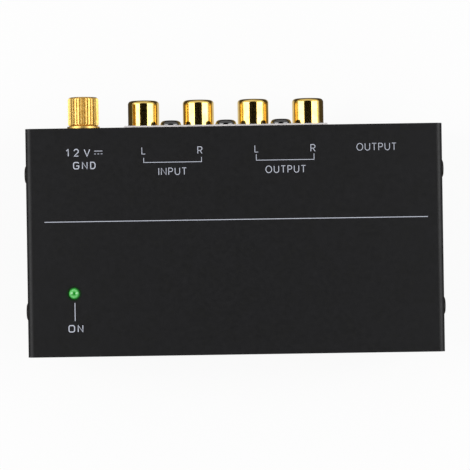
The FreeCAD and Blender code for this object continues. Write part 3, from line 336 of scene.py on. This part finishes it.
def solder_mask():
    """Green circuit board with paler copper areas showing through the mask."""
    finish = Finish("solder_mask", roughness=0.3)
    mask, copper = linear(10, 74, 40), linear(22, 106, 58)
    finish.colour(mask, copper, grain_mm=6.0, detail=1.0, low=0.47, high=0.5)
    return finish.relief(grain_mm=6.0, height_mm=0.03, strength=0.6, detail=1.0).material


def green_lens():
    """Clear green lens lit from inside: a bright cup round its darker chip, and a rim darkened with
    painted shade.
    """
    finish = Finish("green_lens", roughness=0.16, specular=0.6)
    away = finish.distance((*LED_MIDDLE, 0), (1.0, 1.0, 0.0))
    noise = finish.noise(grain_mm=0.9, detail=2.0)
    uneven = finish.spread(noise, NOISE_LOW, NOISE_HIGH, -GLOW_WANDER, GLOW_WANDER)
    share = finish.spread(finish.math("ADD", away, uneven), 0.0, GLOW_REACH)
    # The ramp's last stop is painted shade: the rim is darkened like the gap at the hole's edge
    glow_and_rim_shade = finish.ramp(share, [
        (0.0, linear(20, 124, 30)), (0.24, linear(34, 148, 44)), (0.5, linear(92, 196, 96)),
        (0.72, linear(60, 166, 68)), (0.9, linear(64, 158, 68)), (1.0, linear(4, 44, 8)),
    ])
    finish.feed(finish.shader.inputs["Base Color"], glow_and_rim_shade)
    finish.feed(finish.shader.inputs["Emission Color"], glow_and_rim_shade)
    finish.feed(finish.shader.inputs["Emission Strength"], GLOW_STRENGTH)
    finish.relief(grain_mm=0.5, height_mm=0.02, strength=0.4)
    return finish.coat(weight=0.6, roughness=0.05).material


def painted_shade_ring_finish():
    """Near-black green painted shade, laid on the cover at the hole's edge round the lit lens."""
    finish = Finish("painted_shade_ring_finish", roughness=0.5, specular=0.2)
    finish.colour(linear(2, 20, 4), linear(4, 34, 7), grain_mm=0.5)
    return finish.relief(grain_mm=0.2, height_mm=0.005, strength=0.3).material


def print_ink():
    """Pale blue-grey screen print, slightly uneven as ink on powder coat is."""
    finish = Finish("print_ink", roughness=0.55, specular=0.3)
    finish.colour(linear(190, 194, 208), linear(210, 214, 227), grain_mm=0.3)
    return finish.relief(grain_mm=0.35, height_mm=0.01, strength=0.4).material


def card_paint():
    """Dull, near-black paint of the overhead card."""
    finish = Finish("overhead_card", roughness=0.9)
    return finish.colour(CARD_DARK, CARD_LIGHT, grain_mm=40.0).material


def floor_paint():
    """White to the eye, palely lit, and dark where polished metal mirrors it from far off."""
    material = bpy.data.materials.new("floor")
    graph = Graph(material)
    graph.nodes.clear()
    lit = graph.nodes.new("ShaderNodeBsdfDiffuse")
    lit.inputs["Color"].default_value = FLOOR_GREY
    white = graph.nodes.new("ShaderNodeEmission")
    dark = graph.nodes.new("ShaderNodeEmission")
    dark.inputs["Color"].default_value = FLOOR_DARK
    share = graph.math("MULTIPLY", graph.ray_share(ALL_SEEN), FLOOR_WHITE)
    seen = graph.mix(share, lit.outputs["BSDF"], white.outputs["Emission"])
    split = graph.nodes.new("ShaderNodeSeparateXYZ")
    place = graph.nodes.new("ShaderNodeTexCoord").outputs["Object"]
    graph.feed(split.inputs["Vector"], place)
    sideways = graph.math("ABSOLUTE", graph.math("SUBTRACT", split.outputs["X"], SOCKET_MIDDLE))
    far = graph.math("MAXIMUM", graph.spread(sideways, *DARK_SIDEWAYS),
                     graph.spread(split.outputs["Y"], *DARK_REARWARD))
    mirrored = graph.math("MULTIPLY", graph.ray_share(("Is Glossy Ray",)), far)
    output = graph.nodes.new("ShaderNodeOutputMaterial")
    graph.feed(output.inputs["Surface"], graph.mix(mirrored, seen, dark.outputs["Emission"]))
    return material


def make_finishes():
    """Materials by the names of the frame's slots."""
    return {
        "black_coat": coated_steel(),
        "black_screw": black_screw(),
        "zinc": plated_steel("zinc", linear(226, 222, 222), linear(236, 232, 232), 0.6),
        "rubber": rubber(),
        "green_board": solder_mask(),
        "black_plastic": moulded("black_plastic", linear(24, 24, 25), linear(34, 34, 35)),
        "gold": gold_plate(),
        "white_plastic": moulded("white_plastic", linear(214, 214, 208), linear(232, 232, 226),
                                 0.3),
        "red_plastic": moulded("red_plastic", linear(160, 18, 20), linear(186, 28, 28), 0.3),
        "nickel": plated_steel("nickel", linear(190, 188, 182), linear(216, 214, 208), 0.16),
        "green_lens": green_lens(),
        "can_sleeve": moulded("can_sleeve", linear(22, 24, 44), linear(34, 36, 60), 0.28),
        "film_red": moulded("film_red", linear(150, 34, 26), linear(176, 48, 36), 0.35),
        "ceramic": moulded("ceramic", linear(178, 116, 52), linear(204, 140, 70), 0.5),
        "resistor_blue": moulded("resistor_blue", linear(82, 142, 172), linear(110, 168, 194), 0.3),
    }


def dress_frame(finishes):
    """Give every node of the frame its slot's finish, and soften the folded sheets' edges."""
    for row in frame["record"]["subparts"]:
        node = frame["nodes"][row["node"]]
        node.data.materials.clear()
        node.data.materials.append(finishes[row["material_slot"]])
    dull_gold = gold_knurl()
    for name in ("ground_thumb_screw", "ground_washer"):
        frame["nodes"][name].data.materials[0] = dull_gold
    for name in ("top_cover", "chassis"):
        bevel = frame["nodes"][name].modifiers.new("edge", "BEVEL")
        bevel.width = EDGE_WIDTH
        bevel.segments = EDGE_SEGMENTS
        bevel.limit_method = "ANGLE"
        bevel.angle_limit = EDGE_ANGLE


def make_object(name, shape, material):
    """Object with the given shape, in the scene. The shape is used up."""
    mesh = bpy.data.meshes.new(name)
    shape.to_mesh(mesh)
    shape.free()
    mesh.materials.append(material)
    made = bpy.data.objects.new(name, mesh)
    bpy.context.collection.objects.link(made)
    return made


def join_rows(shape, rows):
    """Faces from each closed row of points to the next."""
    for before, after in zip(rows, rows[1:]):
        for side in range(len(before)):
            far = (side + 1) % len(before)
            shape.faces.new((before[side], before[far], after[far], after[side]))


def face_outward(shape):
    bmesh.ops.recalc_face_normals(shape, faces=shape.faces[:])


def distinct(path):
    """The path without any point that repeats the one before it."""
    steps = zip(path, path[1:])
    return path[:1] + [after for before, after in steps if math.dist(before, after) > SAME_POINT]


def stroke(lines, places, width):
    """Faces of one line of even width through flat points, mitred at its corners."""
    count = len(places)
    left, right = [], []
    for index, place in enumerate(places):
        ahead = places[index + 1] - place if index < count - 1 else place - places[index - 1]
        behind = place - places[index - 1] if index else ahead
        ahead, behind = ahead.normalized(), behind.normalized()
        side = Vector((-(ahead.y + behind.y), ahead.x + behind.x)).normalized()
        reach = width / 2 / max(side.dot(Vector((-ahead.y, ahead.x))), SHARPEST_MITRE)
        left.append(lines.verts.new((*(place + side * reach), 0)))
        right.append(lines.verts.new((*(place - side * reach), 0)))
    for index in range(count - 1):
        lines.faces.new((left[index], right[index], right[index + 1], left[index + 1]))


def print_strokes(name, paths, width):
    """A layer of ink on the cover, along paths in millimetres from the cover's middle."""
    lines = bmesh.new()
    for path in paths:
        places = [Vector((COVER_MIDDLE[0] + x * MM, COVER_MIDDLE[1] + y * MM))
                  for x, y in distinct(path)]
        stroke(lines, places, width * MM)
    for vertex in lines.verts:
        vertex.co.z = COVER_TOP + PRINT_LIFT
    raised = bmesh.ops.extrude_face_region(lines, geom=lines.faces[:])["geom"]
    for item in raised:
        if isinstance(item, bmesh.types.BMVert):
            item.co.z += PRINT_DEPTH
    face_outward(lines)
    piece = make_object(name, lines, ink)
    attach(piece, "box")


def bend(x, y, reach_x, reach_y, start, end):
    """Part of an ellipse about a point, between two angles in degrees."""
    steps = max(2, round(abs(end - start) / BEND_STEP))
    angles = [math.radians(start + (end - start) * i / steps) for i in range(steps + 1)]
    return [(x + reach_x * math.cos(a), y + reach_y * math.sin(a)) for a in angles]


def letter_strokes(letter, wide, corner):
    """Centre lines of a capital or figure in a box of the given width and height 1."""
    middle = wide / 2
    across = wide * corner
    right = wide - across
    foot = min(corner, SHOULDER)
    waist = 1 - 2 * BOWL
    lower_left = bend(across, corner, across, corner, 180, 270)
    lower_right = bend(right, corner, across, corner, 270, 360)
    upper_left = bend(across, 1 - corner, across, corner, 90, 180)
    upper_right = bend(right, 1 - corner, across, corner, 0, 90)
    stem = [(0, 0), (0, 1)]
    head = stem + bend(wide - BOWL, 1 - BOWL, BOWL, BOWL, 90, -90) + [(0, waist)]
    shapes = {
        "I": [stem],
        "L": [[(0, 1), (0, 0), (wide, 0)]],
        "T": [[(0, 1), (wide, 1)], [(middle, 1), (middle, 0)]],
        "V": [[(0, 1), (middle, 0), (wide, 1)]],
        "N": [stem + [(wide, 0), (wide, 1)]],
        "P": [head],
        "R": [head, [(middle, waist), (wide, 0)]],
        "U": [[(0, 1)] + bend(middle, foot, middle, foot, 180, 360) + [(wide, 1)]],
        "O": [lower_right + upper_right + upper_left + lower_left + lower_right[:1]],
        "G": [bend(right, 1 - corner, across, corner, 25, 90) + upper_left + lower_left
              + lower_right + [(wide, BAR_HEIGHT), (wide * BAR_START, BAR_HEIGHT)]],
        "D": [stem + bend(wide - SHOULDER, 1 - SHOULDER, SHOULDER, SHOULDER, 90, 0)
              + bend(wide - SHOULDER, SHOULDER, SHOULDER, SHOULDER, 0, -90) + [(0, 0)]],
        "1": [[(0, FLAG_HEIGHT), (wide, 1), (wide, 0)]],
        "2": [bend(middle, 1 - HOOK, middle, HOOK, 170, -35) + [(0, 0), (wide, 0)]],
    }
    return shapes[letter]


def print_word(name, text, x, y, width, height, weight, corner=ROUND_CORNER):
    """Capitals that fill a width and height in millimetres about (x, y)."""
    tall = height - weight
    left = x - (width - weight) / 2
    shares = [LETTER_WIDTHS[letter] for letter in text]
    spare = (width - weight) / tall - sum(shares)
    gap = spare / max(len(text) - 1, 1)
    start = 0.0
    paths = []
    for letter, share in zip(text, shares):
        for path in letter_strokes(letter, share, corner):
            paths.append([(left + (start + across) * tall, y + (up - 0.5) * tall)
                          for across, up in path])
        start += share + gap
    print_strokes(name, paths, weight)


def print_bracket(name, left, right, top, bottom):
    """Line that ties two labels to the word under them."""
    path = [(left, top), (left, bottom), (right, bottom), (right, top)]
    print_strokes(name, [path], FINE_STROKE)


def print_direct_current_sign(left, right, y, gap):
    """Solid line over three dashes, with spaces as long as the dashes."""
    dash = (right - left) / 5
    paths = [[(left, y + gap / 2), (right, y + gap / 2)]]
    for index in range(3):
        start = left + 2 * index * dash
        paths.append([(start, y - gap / 2), (start + dash, y - gap / 2)])
    print_strokes("direct_current_sign", paths, FINE_STROKE)


def make_print():
    """Function labels over the sockets, the ruled line and the light's mark.

    Places and sizes are in millimetres from the cover's middle, x to the right and y to the
    rear. A word has its middle, its width and height, and its stroke.
    """
    print_word("label_volts", "12", -40.18, 22.4, 3.2, 1.95, BOLD_STROKE)
    print_word("label_volts_unit", "V", -36.48, 22.3, 1.75, 1.95, BOLD_STROKE)
    print_direct_current_sign(left=-34.75, right=-32.7, y=22.37, gap=0.72)
    print_word("label_ground", "GND", -37.26, 19.17, 5.6, 1.85, BOLD_STROKE, SQUARE_CORNER)
    print_word("label_input_left", "L", -22.43, 22.63, 1.05, 1.8, FINE_STROKE)
    print_word("label_input_right", "R", -8.38, 22.58, 1.3, 1.85, THIN_STROKE)
    print_bracket("bracket_input", left=-22.45, right=-8.05, top=20.85, bottom=19.7)
    print_word("label_input", "INPUT", -15.3, 17.4, 7.05, 1.85, THIN_STROKE)
    print_word("label_output_left", "L", 5.72, 22.7, 1.05, 1.8, FINE_STROKE)
    print_word("label_output_right", "R", 19.78, 22.7, 1.3, 1.85, THIN_STROKE)
    print_bracket("bracket_output", left=5.6, right=19.98, top=21.3, bottom=19.85)
    print_word("label_output", "OUTPUT", 12.87, 17.53, 10.05, 1.85, THIN_STROKE)
    print_word("label_socket", "OUTPUT", 35.57, 22.77, 9.95, 1.85, FINE_STROKE)
    print_strokes("ruled_line", [[(-47.4, 5.18), (48.1, 5.18)]], THIN_STROKE)
    print_strokes("light_mark", [[(-40.12, -15.0), (-40.12, -19.5)]], MARK_STROKE)
    print_word("label_on", "ON", -39.97, -21.43, 3.7, 1.85, BOLD_STROKE, SQUARE_CORNER)


def make_painted_shade_ring():
    """Thin ring of painted shade on the cover round the lens."""
    x, y = LED_MIDDLE
    section = ((SHADE_RING_INNER, 0), (SHADE_RING_OUTER, 0),
               (SHADE_RING_OUTER, SHADE_RING_HEIGHT), (SHADE_RING_INNER, SHADE_RING_HEIGHT))
    ring = bmesh.new()
    rows = []
    for index in range(SHADE_RING_STEPS):
        angle = math.tau * index / SHADE_RING_STEPS
        right, ahead = math.cos(angle), math.sin(angle)
        rows.append([
            ring.verts.new((x + reach * right, y + reach * ahead, COVER_TOP + up))
            for reach, up in section
        ])
    join_rows(ring, rows + rows[:1])
    face_outward(ring)
    piece = make_object("painted_shade_ring", ring, painted_shade_ring_finish())
    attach(piece, "box")


def make_stud_thread():
    """Helical ridge on the ground screw's stud, from its inner end to under its head."""
    x = (KNOB_LOW[0] + KNOB_HIGH[0]) / 2
    z = (KNOB_LOW[2] + KNOB_HIGH[2]) / 2
    first = KNOB_LOW[1] + THREAD_PITCH
    turns = (COVER_HIGH[1] + HEAD_GAP - THREAD_PITCH - first) / THREAD_PITCH
    section = ((THREAD_ROOT, -THREAD_HALF_WIDTH), (THREAD_TIP, 0), (THREAD_ROOT, THREAD_HALF_WIDTH))
    ridge = bmesh.new()
    rows = []
    for index in range(round(turns * THREAD_STEPS) + 1):
        angle = math.tau * index / THREAD_STEPS
        y = first + THREAD_PITCH * index / THREAD_STEPS
        rows.append([
            ridge.verts.new((x + radius * math.sin(angle), y + step, z + radius * math.cos(angle)))
            for radius, step in section
        ])
    join_rows(ridge, rows)
    ridge.faces.new(rows[0])
    ridge.faces.new(rows[-1])
    face_outward(ridge)
    knob = frame["nodes"]["ground_thumb_screw"]
    piece = make_object("stud_thread", ridge, knob.data.materials[0])
    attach(piece, "ground_thumb_screw")


def make_floor():
    """Wide floor just under the feet, which keeps the object's soft shadow."""
    outline = bmesh.new()
    bmesh.ops.create_grid(outline, x_segments=1, y_segments=1, size=FLOOR_HALF_WIDTH)
    floor = make_object("floor", outline, floor_paint())
    floor.location.z = -FLOOR_DROP


def make_overhead_card():
    """Dark card round the camera, which polished metal mirrors as a dark stripe."""
    disc = bmesh.new()
    bmesh.ops.create_circle(disc, cap_ends=True, segments=CARD_SEGMENTS, radius=CARD_RADIUS)
    card = make_object("overhead_card", disc, card_paint())
    card.location.z = CARD_HEIGHT
    card.visible_camera = False


def make_light():
    """White surround, dimmer as light than it looks, and a soft box at each side."""
    world = bpy.data.worlds.new("surround")
    bpy.context.scene.world = world
    graph = Graph(world)
    background = graph.nodes["Background"]
    background.inputs["Color"].default_value = WHITE
    strength = graph.spread(graph.ray_share(ALL_SEEN), 0.0, 1.0, SURROUND_LIGHT, SURROUND_LOOK)
    graph.feed(background.inputs["Strength"], strength)
    for side in (-1, 1):
        lamp = bpy.data.lights.new("soft_box", "AREA")
        lamp.shape = "RECTANGLE"
        lamp.size = LAMP_LENGTH
        lamp.size_y = LAMP_WIDTH
        lamp.energy = LAMP_ENERGY
        holder = bpy.data.objects.new("soft_box", lamp)
        bpy.context.collection.objects.link(holder)
        holder.location = (side * LAMP_PLACE[0], *LAMP_PLACE[1:])
        holder.rotation_euler = (0, side * LAMP_TILT, 0)


def make_camera():
    """Long lens straight above, which sees the photograph's width at the cover's height."""
    lens = bpy.data.cameras.new("camera")
    lens.sensor_width = CAMERA_SENSOR
    lens.lens = CAMERA_SENSOR * CAMERA_RISE / PHOTO_WIDTH
    lens.clip_start = CAMERA_NEAR
    camera = bpy.data.objects.new("camera", lens)
    bpy.context.collection.objects.link(camera)
    camera.location = (COVER_MIDDLE[0], COVER_MIDDLE[1] + CAMERA_AHEAD, COVER_TOP + CAMERA_RISE)
    camera.rotation_euler = (0, 0, CAMERA_ROLL)
    bpy.context.scene.camera = camera


ink = print_ink()
dress_frame(make_finishes())
make_print()
make_painted_shade_ring()
make_stud_thread()
make_floor()
make_overhead_card()
make_light()
make_camera()
bpy.context.scene.view_settings.view_transform = "Standard"
